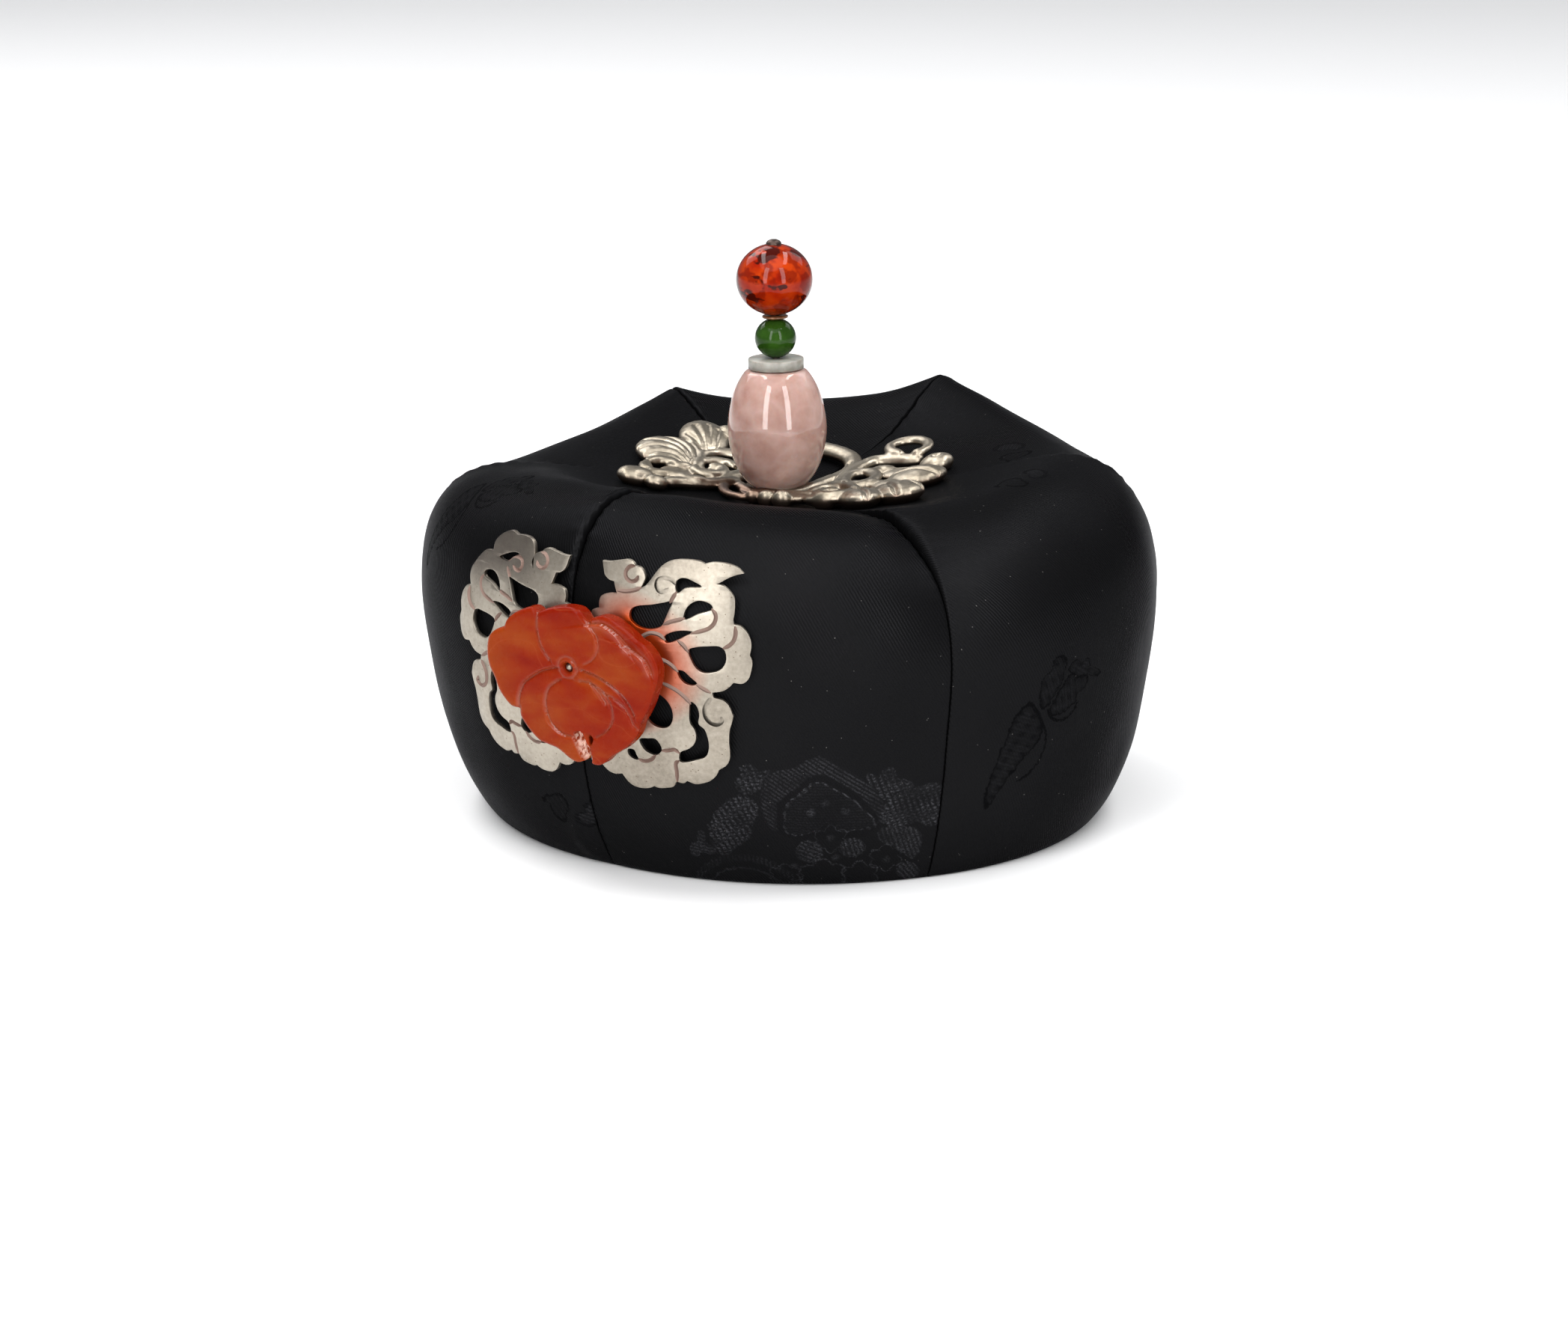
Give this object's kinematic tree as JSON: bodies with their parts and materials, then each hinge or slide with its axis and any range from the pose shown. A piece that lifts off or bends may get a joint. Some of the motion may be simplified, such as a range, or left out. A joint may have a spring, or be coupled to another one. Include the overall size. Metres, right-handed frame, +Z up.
{
  "type": "bridal coronet",
  "caption": "Soft padded crown of puffed dark silk gores, open below, with a pierced sheet ornament and carved stone flower in front, a cast ornament on top and a column of beads.",
  "frame": {"origin": "middle of the whole object's bounding box, at the height of the hem that it rests on", "axes": "+Z up; the front seam, with its ornament, faces -Y; +X is to the right of someone who looks at the front"},
  "size_m": [0.1684, 0.1724, 0.1283],
  "materials": {
    "silk": "black silk satin with a fine twill line and a woven self-coloured pattern",
    "sheet_silver": "worn grey silver alloy sheet, engraved",
    "cast_silver": "worn cast silver alloy, darker in the hollows",
    "carnelian": "polished translucent carnelian",
    "rose_quartz": "polished cloudy rose quartz",
    "white_shell": "matte white shell",
    "jade": "polished green jade",
    "dark_amber": "dull dark amber",
    "amber": "polished clear red amber",
    "dark_metal": "dark oxidised metal"
  },
  "bodies": {
    "root": {"gore_front_right": "silk", "gore_right": "silk", "gore_back_right": "silk", "gore_back_left": "silk", "gore_left": "silk", "gore_front_left": "silk", "front_plate": "sheet_silver", "flower_pin": "sheet_silver", "carnelian_flower": "carnelian", "top_plate": "cast_silver", "vase_bead": "rose_quartz", "collar_disc": "white_shell", "jade_bead": "jade", "amber_washer": "dark_amber", "amber_bead": "amber", "bead_pin": "dark_metal"}
  },
  "joints": []
}
